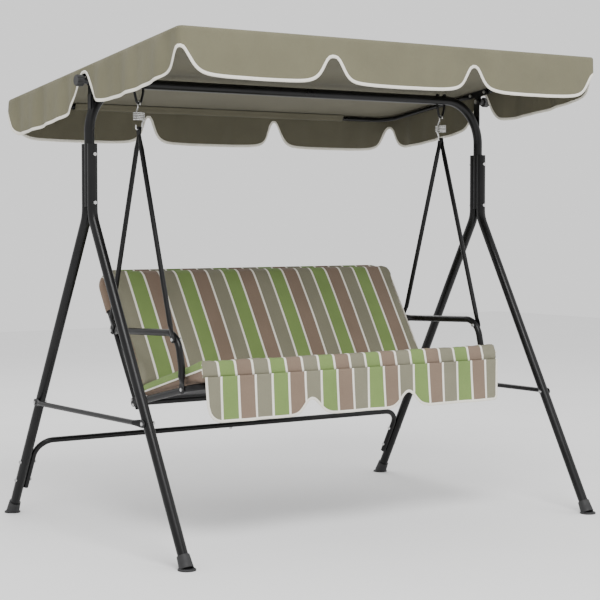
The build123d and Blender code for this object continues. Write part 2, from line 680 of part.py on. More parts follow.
def back_frame():
    """The back's tube: two leaning uprights and the top rail."""
    low = (SEAT_X, back_tube_y(BACK_LOW_Z), BACK_LOW_Z)
    corner = (SEAT_X, back_tube_y(BACK_TOP_Z), BACK_TOP_Z)
    points = [low, corner, (-SEAT_X, *corner[1:]), (-SEAT_X, *low[1:])]
    tube = tube_along(FilletPolyline(*points, radius=SEAT_CORNER_R), SEAT_R)
    for y, z in corner_bolt_places():
        tube -= along_x(y, z, BOLT_R + SEAM, -SEAT_X - DRILL, SEAT_X + DRILL)
    return tube - along_x(back_tube_y(ARM_BACK_Z), ARM_BACK_Z, BOLT_R + SEAM, -SEAT_X - DRILL, SEAT_X + DRILL)


def seat_rear_rail():
    """The cross tube behind the seat, welded to a plate at each end."""
    plate_x = SEAT_X - SEAT_R - SEAM
    rail = tube_along(Line((-plate_x + TAB, *REAR_RAIL_YZ), (plate_x - TAB, *REAR_RAIL_YZ)), SEAT_R)
    outline = slot_between(JOINT_YZ, REAR_RAIL_YZ, PLATE_WIDTH)
    for x in (plate_x - TAB, -plate_x):
        rail += slab_x(outline, x, TAB)
    for y, z in corner_bolt_places():
        rail -= along_x(y, z, BOLT_R + SEAM, -SEAT_X, SEAT_X)
    return rail


def armrest():
    """A bent tube from the back upright, forward and down to the seat rail."""
    tab_x = SEAT_X + SEAT_R + SEAM + TAB / 2
    back_hole = (tab_x, back_tube_y(ARM_BACK_Z), ARM_BACK_Z)
    rear_y = back_hole[1] - ARM_BACK_TAPER
    lean = (ARM_CORNER[1] - ARM_BACK_Z) / (back_hole[1] - ARM_CORNER[0])
    rear = (ARM_X, rear_y, ARM_BACK_Z + lean * (back_hole[1] - rear_y))
    foot_z = seat_rail_z(ARM_FOOT_Y)
    foot_hole = (tab_x, ARM_FOOT_Y, foot_z)
    low = (ARM_X, ARM_FOOT_Y, foot_z + ARM_FOOT_TAPER)
    points = [rear, (ARM_X, *ARM_CORNER), (ARM_X, *ARM_KNEE), low]
    tube = tube_along(FilletPolyline(*points, radius=[ARM_CORNER_R, ARM_KNEE_R]), ARM_R)
    tube += flat_end(rear, back_hole, ARM_R, ARM_TAB_WIDTH)
    tube += flat_end(low, foot_hole, ARM_R, ARM_TAB_WIDTH)
    return tube - along_x(*ROD_FRONT_YZ, BOLT_R + SEAM, ARM_X - DRILL, ARM_X + DRILL)


def hanger_rod(front):
    """A straight tube from the spring's hook to the arm, flattened at both ends."""
    if front:
        rod_x = HANGER_X + ROD_TOP_SHIFT
        low_hole = (ARM_X + ARM_R + SEAM + TAB / 2, *ROD_FRONT_YZ)
    else:
        rod_x = HANGER_X - ROD_TOP_SHIFT
        low_hole = (SEAT_X + SEAT_R + 2 * SEAM + TAB * 3 / 2, back_tube_y(ARM_BACK_Z), ARM_BACK_Z)
    top_hole = Vector(rod_x, 0, ROD_TOP_Z)
    low_centre = Vector(rod_x, low_hole[1], low_hole[2])
    along = (low_centre - top_hole).normalized()
    top_end = top_hole + along * ROD_TOP_TAPER
    low_end = low_centre - along * ROD_LOW_TAPER
    tube = tube_along(Line(top_end, low_end), ROD_R)
    upper = flat_end(tuple(top_end), tuple(top_hole), ROD_R, ROD_TAB_WIDTH, ROD_HOLE_R)
    lower = flat_end(tuple(low_end), low_hole, ROD_R, ROD_TAB_WIDTH)
    return tube + upper + lower


def arm_bolts():
    """Bolts of the hanger rods' lower ends and of the armrests' front ends."""
    solids = []
    front_head = ARM_X + ARM_R + SEAM + TAB
    back_head = SEAT_X + SEAT_R + 2 * SEAM + 2 * TAB
    foot_head = SEAT_X + SEAT_R + SEAM + TAB
    back_y = back_tube_y(ARM_BACK_Z)
    for side in (-1, 1):
        inward = (-side, 0, 0)
        solids += bolt((side * front_head, *ROD_FRONT_YZ), inward, 2 * ARM_R + SEAM + TAB)
        solids += bolt((side * back_head, back_y, ARM_BACK_Z), inward, back_head - SEAT_X + SEAT_R)
        foot_at = (side * foot_head, ARM_FOOT_Y, seat_rail_z(ARM_FOOT_Y))
        solids += bolt(foot_at, inward, foot_head - SEAT_X + SEAT_R)
    return solids


def frame_corner_bolts():
    head_x = SEAT_X + SEAT_R + SEAM + TAB
    grip = 2 * SEAT_R + 2 * SEAM + 2 * TAB
    solids = []
    for side in (-1, 1):
        for y, z in corner_bolt_places():
            solids += bolt((side * head_x, y, z), (-side, 0, 0), grip, head=CORNER_HEAD_R)
    return solids


def band(start, end, inner, outer):
    """A flat strip beside the line from start to end, between two offsets to its left."""
    direction = Vector(end[0] - start[0], end[1] - start[1]).normalized()
    normal = Vector(-direction.Y, direction.X)
    first = Vector(*start)
    last = Vector(*end)
    corners = [first + normal * inner, last + normal * inner, last + normal * outer, first + normal * outer]
    return make_face(Polyline(*[(p.X, p.Y) for p in corners], close=True))


def sling():
    """One length of mesh: a sleeve on each cross tube and a stretched strip between them."""
    front = (SEAT_FRONT_Y, seat_rail_z(SEAT_FRONT_Y))
    top = (back_tube_y(BACK_TOP_Z), BACK_TOP_Z)
    inner = SEAT_R + SLING_GAP
    outer = inner + SLING_T
    outline = band(REAR_RAIL_YZ, front, -outer, -inner) + band(REAR_RAIL_YZ, top, inner, outer)
    for place in (front, REAR_RAIL_YZ, top):
        outline += Pos(*place) * Circle(outer)
    for place in (front, REAR_RAIL_YZ, top):
        outline -= Pos(*place) * Circle(inner)
    return slab_x(outline, -SLING_HALF, 2 * SLING_HALF)


def back_face(z):
    return MEET_TOP[0] + BACK_FACE_SLOPE * (z - MEET_TOP[1])


def cushion(points, half):
    """A plain cushion: an outline in Y and Z, drawn out across the bench, with soft edges."""
    block = slab_x(make_face(Polyline(*points, close=True)), -half, 2 * half)
    return fillet(block.edges(), SOFT_FILLET)


def seat_cushion():
    low = SEAT_R * hypot(SEAT_SLOPE, 1) + SLING_T + SLING_GAP + SOFT_GAP
    points = [
        (SEAT_LOW_FRONT_Y, seat_rail_z(SEAT_LOW_FRONT_Y) + low),
        (MEET_LOW[0] - SOFT_GAP, seat_rail_z(MEET_LOW[0]) + low),
        (MEET_TOP[0] - SOFT_GAP, MEET_TOP[1]),
        SEAT_TOP_FRONT,
    ]
    return cushion(points, SEAT_CUSHION_HALF)


def back_cushion():
    length = hypot(BACK_FACE_SLOPE, 1)
    across_y = BACK_THICK / length
    across_z = -BACK_THICK * BACK_FACE_SLOPE / length
    top = (back_face(BACK_FACE_TOP_Z), BACK_FACE_TOP_Z)
    top_rear = (top[0] + across_y, top[1] + across_z)
    low_rear_z = MEET_LOW[1] + BACK_LOW_LIFT
    low_rear = (top_rear[0] + BACK_FACE_SLOPE * (low_rear_z - top_rear[1]), low_rear_z)
    low_front = (MEET_TOP[0] + SOFT_GAP, MEET_TOP[1] + SOFT_GAP)
    return cushion([low_front, low_rear, top_rear, top], BACK_CUSHION_HALF)


def cushion_hood():
    """The pocket on the cushion's back that is pulled down over the frame's top rail."""
    length = hypot(RECLINE, 1)
    reach = SEAT_R + SLING_GAP + SLING_T + SOFT_GAP
    back_gap = (reach + HOOD_T) * length
    low = (back_tube_y(HOOD_LOW_Z), HOOD_LOW_Z)
    top = (back_tube_y(BACK_TOP_Z), BACK_TOP_Z)
    outer = band(low, top, -reach - HOOD_T, reach - HOOD_LAP) + Pos(*top) * Circle(reach + HOOD_T)
    inner = band(low, top, -reach, reach + HOOD_CUT) + Pos(*top) * Circle(reach)
    shell = slab_x(outer, -HOOD_HALF, 2 * HOOD_HALF)
    hollow = slab_x(inner, -HOOD_HALF + HOOD_T, 2 * (HOOD_HALF - HOOD_T))
    past_top = (top[0] + back_gap, top[1] + back_gap / RECLINE)
    front_cut = band(low, past_top, reach - HOOD_LAP, reach + HOOD_CUT)
    return shell - hollow - slab_x(front_cut, -HOOD_HALF, 2 * HOOD_HALF)


def seat_skirt():
    """The scalloped flap that hangs from the seat cushion's front."""
    notches = (-SKIRT_HALF, -SKIRT_NOTCH_X, SKIRT_NOTCH_X, SKIRT_HALF)
    corner = SKIRT_DEPTH - SKIRT_CORNER_RISE
    peaks = (corner, SKIRT_NOTCH, SKIRT_NOTCH, corner)
    flap = scallops(notches, peaks, SKIRT_DEPTH, lambda x: 0.0, SKIRT_LOBE_SIDE, SKIRT_LOBE_R)
    plane = Plane(origin=(0, *SKIRT_TOP), x_dir=(1, 0, 0), z_dir=(0, -1, SKIRT_LEAN))
    return extrude(plane * flap, SKIRT_T)


# ---------------------------------------------------------------- write the nodes

for place, is_front in (("front", True), ("back", False)):
    save_pair(f"{place}_leg", leg(is_front))
    save_pair(f"foot_{place}", foot(is_front))
    save_pair(f"hanger_rod_{place}", hanger_rod(is_front))
    save(f"canopy_{place}_bar_right", *canopy_bar(is_front, 1))
    save(f"canopy_{place}_bar_left", *canopy_bar(is_front, -1))
save("top_bar_middle", top_bar_middle())
save_pair("top_bar_end", top_bar_end())
save_pair("side_brace", side_brace())
save("rear_crossbar_right", rear_crossbar(1))
save("rear_crossbar_left", rear_crossbar(-1))
right_loop = hanger_loop()
save("hanger_loop_right", *right_loop)
save("hanger_loop_left", *[mirrored(solid) for solid in right_loop])
save_pair("canopy_ear", canopy_ear())
right_pivot = pivot_bolt()
save("pivot_bolts", *right_pivot, *[mirrored(solid) for solid in right_pivot])
save("post_bolts", *post_bolts())
save("brace_bolts", *brace_bolts())
save("crossbar_bolts", *crossbar_bolts())
save_pair("canopy_knob", knob())
save_pair("spring", spring())
save_pair("canopy_bracket", canopy_bracket())
save("canopy_frame_bolts", *canopy_frame_bolts())
save("canopy_fabric", canopy_fabric())
save("seat_frame", seat_frame())
save("back_frame", back_frame())
save("seat_rear_rail", seat_rear_rail())
save_pair("armrest", armrest())
save("arm_bolts", *arm_bolts())
save("frame_corner_bolts", *frame_corner_bolts())
save("sling", sling())
save("seat_cushion", seat_cushion())
save("back_cushion", back_cushion())
save("cushion_hood", cushion_hood())
save("seat_skirt", seat_skirt())
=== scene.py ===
"""Canopy swing bench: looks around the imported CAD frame. Metres, +X across, -Y front, +Z up."""
import json
import math

import bmesh
import bpy
import numpy as np
from mathutils import Matrix, Vector, noise


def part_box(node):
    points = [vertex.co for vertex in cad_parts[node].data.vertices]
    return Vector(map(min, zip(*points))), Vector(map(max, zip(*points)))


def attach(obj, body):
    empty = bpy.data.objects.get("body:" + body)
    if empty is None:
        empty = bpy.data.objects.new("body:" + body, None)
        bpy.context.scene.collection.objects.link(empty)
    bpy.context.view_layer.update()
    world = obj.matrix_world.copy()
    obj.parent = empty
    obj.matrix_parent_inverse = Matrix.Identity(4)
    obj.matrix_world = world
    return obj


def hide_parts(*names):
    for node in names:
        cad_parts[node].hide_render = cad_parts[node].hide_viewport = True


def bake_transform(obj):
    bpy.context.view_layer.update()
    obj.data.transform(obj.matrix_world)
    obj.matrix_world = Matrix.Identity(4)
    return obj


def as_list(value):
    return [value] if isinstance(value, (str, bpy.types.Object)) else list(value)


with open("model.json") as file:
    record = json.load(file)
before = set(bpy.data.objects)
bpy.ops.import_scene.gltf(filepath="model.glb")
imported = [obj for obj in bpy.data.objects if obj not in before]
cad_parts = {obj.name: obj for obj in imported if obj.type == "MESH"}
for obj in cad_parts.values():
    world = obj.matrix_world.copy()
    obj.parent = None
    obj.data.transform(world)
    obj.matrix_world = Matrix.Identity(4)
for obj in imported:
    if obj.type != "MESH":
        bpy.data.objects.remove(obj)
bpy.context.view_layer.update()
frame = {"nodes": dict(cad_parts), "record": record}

# Places that come from the frame
CANOPY_LOW, CANOPY_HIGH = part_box("canopy_fabric")
SEAT_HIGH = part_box("seat_cushion")[1]
BACK_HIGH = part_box("back_cushion")[1]
SKIRT_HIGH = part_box("seat_skirt")[1]
HOOD_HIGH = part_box("cushion_hood")[1]

# Canopy
ROOF_HALF = CANOPY_HIGH.x
ROOF_FRONT = CANOPY_LOW.y
ROOF_BACK = CANOPY_HIGH.y
ROOF_SLOPE = 0.1308
ROOF_Z = CANOPY_HIGH.z + ROOF_SLOPE * ROOF_FRONT
ROOF_CORNER = 0.018
RAIL_DROP = 0.0132          # rail axis below the roof
# Flat cloth sizes and areas, worked out from the roof, the flap drops and the routes round the tubes
SKIRT_FLAT = (1.184, 0.1405)
HOOD_FLAT = (1.25, 0.327)
SLING_FLAT = (1.05, 1.03)

# Notches: place along the side, drop at the peak, half width and sharpness
FRONT_NOTCHES = [(-0.28, 0.062, 0.040, 3.0), (0.28, 0.062, 0.036, 2.6)]
BACK_NOTCHES = [(-0.272, 0.037, 0.027, 2.6), (0.272, 0.037, 0.028, 2.6)]
SIDE_NOTCHES = [(-0.003, 0.0195, 0.048, 2.9)]
FRONT_CORNER = (0.058, 0.0385, 2.53)
BACK_CORNER = (0.042, 0.034, 2.6)

# Flaps, in the order front, right, back, left
FLAP_DROPS = (0.143, 0.137, 0.133, 0.137)
FLAP_FOLDS = (0.0024, 0.0080, 0.0050, 0.0080)
FLAP_REACH = 0.14
FLAP_ROWS = 15
ROOF_FOLD = [(-0.010, 0.0006), (-0.003, 0.0), (0.0, -0.004)]    # inwards and up, from the edge
ROOF_RINGS = 26
ROOF_DIP = 0.0075
ROOF_PUCKER = 0.0016
SLEEVE_HALF = 0.575
SLEEVE_R = 0.0108
SLEEVE_INSET = 0.0035       # clear of the flaps
RAIL_R = 0.008
SLEEVE_EDGE = [(0.0125, 0.004), (0.019, 0.0088)]

# Seat and back
SEAT_HALF = SEAT_HIGH.x
BACK_HALF = BACK_HIGH.x
MEET = (0.037, 0.475)       # the seat and back meet here, in Y and Z
BACK_SLOPE = 0.6215
SEAT_SEAM = (0.008, 0.454)  # a point of the seat's side seam, in Y and Z
SEAT_SEAM_SLOPE = 0.2736
SEAT_FRONT_Y = -0.327       # the seat pad's top edge
SEAT_CROWN = 0.0075
BACK_THICK = 0.040
BACK_CORNER_R = 0.038
BACK_CROWN = 0.009
PIPING_R = 0.0028
STRIPES = 19
STRIPE_PITCH = 2 * SEAT_HALF / STRIPES
IVORY_WIDTH = 0.0078
LINE_BLUR = 0.006           # a share of a stripe
YARN_PITCH = 0.0052

# Skirt
SKIRT_DROP = 0.1405
SKIRT_NOTCH_X = 0.198
SKIRT_NOTCH = 0.050
SKIRT_LEAN = 0.0095         # how far the hem stands out
SKIRT_REACH = 0.1445
SKIRT_PAST = 0.002          # past the CAD skirt at each end
SKIRT_ROWS = 16

# Frame tubes that the cloth lies on
SEAT_TUBE_R = 0.011
FRONT_RAIL = (-0.303, 0.4938)
REAR_RAIL = (0.085, 0.4095)
TOP_RAIL = (0.3153, 0.820)
RECLINE = 0.6125

# Camera
CAMERA_PLACE = (-3.2278, -4.5960, 1.0031)
CAMERA_AZIMUTH = -35.1
CAMERA_ELEVATION = 2.78
CAMERA_LENS = 98.95

# Stage
FLOOR_REACH = 9
WORLD_STRENGTH = 1.15

# Cloth thicknesses
COVER_THICK = 0.0011
SLEEVE_THICK = 0.0009
SKIRT_THICK = 0.0012
HOOD_THICK = 0.0010
SLING_THICK = 0.0012

# Colours, linear
CANOPY_COLOUR = (0.160, 0.151, 0.098)
# the canopy cloth again, darker, for its inside: painted shade under the roof
CANOPY_PAINTED_SHADE_COLOUR = (0.118, 0.110, 0.076)
GREY_BEIGE = (0.222, 0.212, 0.150)
GREEN = (0.188, 0.278, 0.085)
BROWN = (0.222, 0.160, 0.118)
IVORY = (0.84, 0.81, 0.72)
YARN = (0.09, 0.085, 0.07)
BLACK = (0.0028, 0.0028, 0.0030)


# ------------------------------------------------------------------ materials

class Shader:
    """A small helper around one material's node tree."""

    def __init__(self, name):
        self.material = bpy.data.materials.new(name)
        self.material.use_nodes = True
        self.nodes = self.material.node_tree.nodes
        self.links = self.material.node_tree.links
        self.surface = self.nodes["Principled BSDF"]
        self.coords = self.nodes.new("ShaderNodeTexCoord").outputs["Object"]

    def node(self, kind, settings=None, **inputs):
        made = self.nodes.new(kind)
        for key, value in (settings or {}).items():
            setattr(made, key, value)
        for key, value in inputs.items():
            self.feed(made.inputs[key.replace("_", " ")], value)
        return made

    def feed(self, socket, value):
        if isinstance(value, bpy.types.NodeSocket):
            self.links.new(value, socket)
        else:
            socket.default_value = value

    def math(self, operation, a, b=0.0, c=0.0):
        made = self.nodes.new("ShaderNodeMath")
        made.operation = operation
        for socket, value in zip(made.inputs, (a, b, c)):
            self.feed(socket, value)
        return made.outputs[0]

    def mix(self, factor, a, b):
        made = self.nodes.new("ShaderNodeMix")
        made.data_type = "RGBA"
        self.feed(made.inputs["Factor"], factor)
        for socket, value in ((made.inputs[6], a), (made.inputs[7], b)):
            self.feed(socket, (*value, 1.0) if isinstance(value, tuple) else value)
        return made.outputs[2]

    def noise(self, scale, detail=3.0, roughness=0.5):
        made = self.node("ShaderNodeTexNoise", Scale=scale, Detail=detail, Roughness=roughness)
        self.links.new(self.coords, made.inputs["Vector"])
        return made.outputs["Fac"]

    def axis(self, name):
        split = self.node("ShaderNodeSeparateXYZ")
        self.links.new(self.coords, split.inputs[0])
        return split.outputs[name]

    def ramp(self, value, low, high, to_low, to_high):
        made = self.nodes.new("ShaderNodeMapRange")
        for socket, item in zip(made.inputs, (value, low, high, to_low, to_high)):
            self.feed(socket, item)
        return made.outputs[0]

    def bump(self, height, strength, distance, normal=None):
        made = self.node("ShaderNodeBump", Strength=strength, Distance=distance, Height=height)
        if normal is not None:
            self.links.new(normal, made.inputs["Normal"])
        return made.outputs["Normal"]

    def set(self, **inputs):
        for key, value in inputs.items():
            socket = self.surface.inputs[key.replace("_", " ")]
            self.feed(socket, (*value, 1.0) if isinstance(value, tuple) and len(value) == 3 else value)


def thread_waves(s, pitch):
    """Warp and weft ridges from the object's own coordinates, for any way that the cloth hangs."""
    turn = 2 * math.pi / pitch
    across = s.math("SINE", s.math("MULTIPLY", s.axis("X"), turn))
    run = s.math("ADD", s.axis("Y"), s.axis("Z"))
    along = s.math("SINE", s.math("MULTIPLY", run, turn))
    return s.math("MULTIPLY", across, along)


def cloth_finish(s, colour, pitch, roughness=0.86):
    """Woven polyester: a fine weave, slubs, faint shade changes and a soft sheen."""
    weave = thread_waves(s, pitch)
    slub = s.noise(420.0, 4.0, 0.6)
    cloud = s.noise(7.0, 3.0)
    shade = s.ramp(cloud, 0.3, 0.7, 0.93, 1.06)
    fleck = s.ramp(slub, 0.3, 0.7, 0.92, 1.07)
    tone = s.math("MULTIPLY", shade, fleck)
    tone = s.math("MULTIPLY", tone, s.ramp(weave, -1.0, 1.0, 0.955, 1.035))
    scaled = s.node("ShaderNodeVectorMath", {"operation": "SCALE"})
    s.feed(scaled.inputs[0], colour)
    s.feed(scaled.inputs["Scale"], tone)
    s.set(Base_Color=scaled.outputs[0], Roughness=s.ramp(slub, 0.2, 0.8, roughness - 0.05, roughness + 0.07))
    crease = s.bump(s.noise(26.0, 4.0), 0.16, 0.004)
    s.set(Normal=s.bump(weave, 0.35, 0.0004, crease))
    s.surface.inputs["Sheen Weight"].default_value = 0.05
    s.surface.inputs["Sheen Roughness"].default_value = 0.5
    s.surface.inputs["Specular IOR Level"].default_value = 0.25
    return s.material


def plain_cloth(name, colour, pitch=0.0014):
    return cloth_finish(Shader(name), colour, pitch)


def stripe_cloth(name):
    """Grey-beige, green and brown stripes in turn, with an ivory line at each join."""
    s = Shader(name)
    place = s.math("DIVIDE", s.math("ADD", s.axis("X"), SEAT_HALF + 3 * STRIPE_PITCH), STRIPE_PITCH)
    index = s.math("MODULO", s.math("FLOOR", place), 3.0)
    within = s.math("FRACT", place)
    edge = s.math("MINIMUM", within, s.math("SUBTRACT", 1.0, within))
    half_line = IVORY_WIDTH / 2 / STRIPE_PITCH
    is_line = s.ramp(edge, half_line - LINE_BLUR, half_line + LINE_BLUR, 1.0, 0.0)
    colour = s.mix(s.math("GREATER_THAN", index, 0.5), GREY_BEIGE, GREEN)
    colour = s.mix(s.math("GREATER_THAN", index, 1.5), colour, BROWN)
    yarn = s.math("SINE", s.math("MULTIPLY", s.axis("X"), 2 * math.pi / YARN_PITCH))
    colour = s.mix(s.ramp(yarn, -1.0, 1.0, 0.0, 0.10), colour, YARN)
    colour = s.mix(is_line, colour, IVORY)
    return cloth_finish(s, colour, 0.0016)


def powder_coat(name):
    """Black powder coat: slight orange peel, uneven gloss, and paler random patches that are partly wear and
    partly a painted highlight.
    """
    s = Shader(name)
    peel = s.noise(650.0, 2.0)
    cloud = s.noise(9.0, 4.0)
    # paler random patches: partly wear, partly a painted highlight
    wear_and_painted_highlight = s.ramp(s.noise(60.0, 6.0, 0.7), 0.66, 0.8, 0.0, 0.5)
    base = s.mix(s.ramp(cloud, 0.3, 0.7, 0.0, 1.0), BLACK, (0.0075, 0.0075, 0.008))
    s.set(Base_Color=s.mix(wear_and_painted_highlight, base, (0.014, 0.014, 0.0145)))
    s.set(Roughness=s.ramp(cloud, 0.25, 0.75, 0.24, 0.38))
    s.set(Normal=s.bump(peel, 0.12, 0.0005))
    s.surface.inputs["Specular IOR Level"].default_value = 0.26
    return s.material


def zinc(name, colour, roughness):
    """Bright zinc plate with fine scratches and a mottled bloom."""
    s = Shader(name)
    bloom = s.noise(180.0, 4.0)
    s.set(Base_Color=s.mix(s.ramp(bloom, 0.35, 0.7, 0.0, 0.6), colour, tuple(0.72 * c for c in colour)))
    s.set(Metallic=1.0, Roughness=s.ramp(bloom, 0.3, 0.7, roughness - 0.06, roughness + 0.1))
    s.set(Normal=s.bump(s.noise(1400.0, 2.0), 0.08, 0.0003))
    return s.material


def moulded(name, colour, roughness, grain):
    """Moulded rubber or plastic with a fine matt grain and dust in the low spots."""
    s = Shader(name)
    dust = s.ramp(s.noise(35.0, 5.0), 0.5, 0.75, 0.0, 0.25)
    s.set(Base_Color=s.mix(dust, colour, (0.07, 0.068, 0.062)))
    s.set(Roughness=s.ramp(s.noise(60.0), 0.3, 0.7, roughness - 0.07, roughness + 0.07))
    s.set(Normal=s.bump(s.noise(grain, 3.0), 0.22, 0.0005))
    return s.material


def open_mesh(name):
    """Coated mesh: thick yarns with dark holes between them."""
    s = Shader(name)
    holes = thread_waves(s, 0.0052)
    colour = s.mix(s.ramp(holes, -0.2, 0.7, 0.0, 1.0), (0.058, 0.058, 0.06), (0.010, 0.010, 0.011))
    s.set(Base_Color=colour, Roughness=0.7)
    s.set(Normal=s.bump(holes, 0.5, 0.0008))
    return s.material


CANOPY_CLOTH = plain_cloth("canopy_polyester", CANOPY_COLOUR)
# darker copy of the canopy cloth for the inner faces and the sleeves: painted shade
CANOPY_INSIDE_SHADED = plain_cloth("canopy_inside_painted_shade", CANOPY_PAINTED_SHADE_COLOUR)
GREEN_CLOTH = plain_cloth("green_polyester", GREEN)
STRIPED = stripe_cloth("striped_polyester")
TAUPE = plain_cloth("taupe_polyester", BROWN)
BINDING = plain_cloth("ivory_binding", IVORY, 0.0011)
MESH_CLOTH = open_mesh("coated_mesh")
COAT = powder_coat("black_powder_coat")
BOLT_ZINC = zinc("zinc_bolt", (0.62, 0.62, 0.62), 0.34)
SPRING_ZINC = zinc("spring_zinc", (0.72, 0.72, 0.71), 0.26)
RUBBER = moulded("boot_rubber", (0.016, 0.016, 0.017), 0.62, 900.0)
KNOB_PLASTIC = moulded("knob_plastic", (0.018, 0.018, 0.019), 0.5, 1300.0)

SLOT_MATERIALS = {
    "black_powder_coat": COAT,
    "boot_rubber": RUBBER,
    "zinc_bolt": BOLT_ZINC,
    "spring_steel": SPRING_ZINC,
    "knob_plastic": KNOB_PLASTIC,
    "canopy_cloth": CANOPY_CLOTH,
    "sling_mesh": MESH_CLOTH,
    "seat_cloth": STRIPED,
    "back_cloth": STRIPED,
    "hood_cloth": TAUPE,
    "skirt_cloth": STRIPED,
}


def dress_cad_nodes():
    for part in frame["record"]["subparts"]:
        node = frame["nodes"][part["node"]]
        node.data.materials.clear()
        node.data.materials.append(SLOT_MATERIALS[part["material_slot"]])


# ------------------------------------------------------------------ mesh helpers

def make_piece(name, verts, faces, *materials):
    data = bpy.data.meshes.new(name)
    data.from_pydata([tuple(v) for v in verts], [], faces)
    data.update()
    piece = bpy.data.objects.new(name, data)
    bpy.context.scene.collection.objects.link(piece)
    for material in materials:
        data.materials.append(material)
    tidy_mesh(piece)
    return piece


def tidy_mesh(piece):
    """Join doubled points, drop empty faces, turn all faces outwards and shade them smoothly."""
    work = bmesh.new()
    work.from_mesh(piece.data)
    bmesh.ops.remove_doubles(work, verts=work.verts, dist=1e-5)
    bmesh.ops.dissolve_degenerate(work, edges=work.edges, dist=1e-6)
    bmesh.ops.recalc_face_normals(work, faces=work.faces)
    work.to_mesh(piece.data)
    work.free()
    for face in piece.data.polygons:
        face.use_smooth = True


def grid_faces(rows, columns, close_rows=False, close_columns=False):
    faces = []
    for i in range(rows if close_rows else rows - 1):
        for j in range(columns if close_columns else columns - 1):
            a = i * columns + j
            b = i * columns + (j + 1) % columns
            c = ((i + 1) % rows) * columns + (j + 1) % columns
            d = ((i + 1) % rows) * columns + j
            faces.append((a, b, c, d))
    return faces


def apply_modifiers(piece):
    graph = bpy.context.evaluated_depsgraph_get()
    evaluated = piece.evaluated_get(graph)
    data = bpy.data.meshes.new_from_object(evaluated, depsgraph=graph)
    piece.modifiers.clear()
    piece.data = data
    return piece


def thicken(piece, thickness, offset=0.0, inner=0):
    solid = piece.modifiers.new("cloth_thickness", "SOLIDIFY")
    solid.material_offset = inner
    solid.thickness = thickness
    solid.offset = offset
    solid.use_rim = True
    return apply_modifiers(piece)


def sweep_section(name, centres, frames, section, material, closed=False):
    """Carry a closed 2-D section along centres; frames gives the two section axes at each."""
    verts = []
    for centre, (side, up) in zip(centres, frames):
        for a, b in section:
            verts.append(Vector(centre) + side * a + up * b)
    rows = len(centres)
    count = len(section)
    faces = grid_faces(rows, count, close_rows=closed, close_columns=True)
    if not closed:
        faces.append(tuple(range(count)))
        faces.append(tuple(range((rows - 1) * count, rows * count)))
    return make_piece(name, verts, faces, material)


def tangents(points, closed=False):
    count = len(points)
    found = []
    for i in range(count):
        before = points[(i - 1) % count] if closed or i > 0 else points[i]
        after = points[(i + 1) % count] if closed or i < count - 1 else points[i]
        found.append((Vector(after) - Vector(before)).normalized())
    return found


def round_section(radius, sides=10):
    turn = 2 * math.pi / sides
    return [(radius * math.cos(i * turn), radius * math.sin(i * turn)) for i in range(sides)]


def piping(name, points, outward, radius=PIPING_R):
    """A sewn cord in a folded cloth strip, along points; outward is a rough sideways direction."""
    frames = []
    for tangent in tangents(points):
        side = Vector(outward) - tangent * tangent.dot(Vector(outward))
        side.normalize()
        frames.append((side, tangent.cross(side)))
    return sweep_section(name, points, frames, round_section(radius), BINDING)


def resample(points, step):
    """Points evenly spaced along a polyline."""
    points = [Vector(p) for p in points]
    lengths = [0.0]
    for a, b in zip(points, points[1:]):
        lengths.append(lengths[-1] + (b - a).length)
    count = max(2, round(lengths[-1] / step) + 1)
    found = []
    for target in np.linspace(0, lengths[-1], count):
        i = min(int(np.searchsorted(lengths, target, side="right")) - 1, len(points) - 2)
        share = (target - lengths[i]) / max(lengths[i + 1] - lengths[i], 1e-9)
        found.append(points[i].lerp(points[i + 1], share))
    return found


def ripple(x, y, z, scale, seed=0.0):
    """Smooth seeded noise, from about -1 to 1."""
    return noise.noise(Vector((x * scale + seed, y * scale - seed, z * scale + 0.37 * seed)))


def arc_rise(distance, reach):
    """A quarter round: 0 at an edge, 1 from reach inwards."""
    share = min(max(distance / reach, 0.0), 1.0)
    return math.sqrt(max(0.0, 1 - (1 - share) ** 2))


# ------------------------------------------------------------------ canopy

def roof_z(y):
    return ROOF_Z - ROOF_SLOPE * y


def perimeter(step=0.0085):
    """The roof's edge as (x, y, side, outward): a rounded rectangle, anticlockwise from above."""
    half, front, back, r = ROOF_HALF, ROOF_FRONT, ROOF_BACK, ROOF_CORNER
    corners = [(-half, front), (half, front), (half, back), (-half, back)]
    normals = [(0, -1), (1, 0), (0, 1), (-1, 0)]
    found = []
    for i in range(4):
        start = Vector(corners[i])
        end = Vector(corners[(i + 1) % 4])
        along = (end - start).normalized()
        normal = Vector(normals[i])
        length = (end - start).length
        count = round((length - 2 * r) / step)
        for j in range(count + 1):
            place = start + along * (r + (length - 2 * r) * j / count)
            found.append((place.x, place.y, i, normal.copy()))
        centre = end - along * r - normal * r
        for j in range(1, 5):
            turn = math.pi / 2 * j / 5
            outward = normal * math.cos(turn) + along * math.sin(turn)
            place = centre + outward * r
            found.append((place.x, place.y, i if j < 3 else (i + 1) % 4, outward))
    return found


def hem_drop(x, y, side):
    """The hem's drop below the fold at a place on the edge, less in a notch or at a corner."""
    drop = FLAP_DROPS[side]
    along = x if side in (0, 2) else y
    notches = (FRONT_NOTCHES, SIDE_NOTCHES, BACK_NOTCHES, SIDE_NOTCHES)[side]
    places = [(along - centre, *shape) for centre, *shape in notches]
    to_front = math.hypot(ROOF_HALF - abs(x), y - ROOF_FRONT)
    to_back = math.hypot(ROOF_HALF - abs(x), ROOF_BACK - y)
    places += [(to_front, *FRONT_CORNER), (to_back, *BACK_CORNER)]
    return min(drop - (drop - peak) / (1 + abs(gap / width) ** power) for gap, peak, width, power in places)


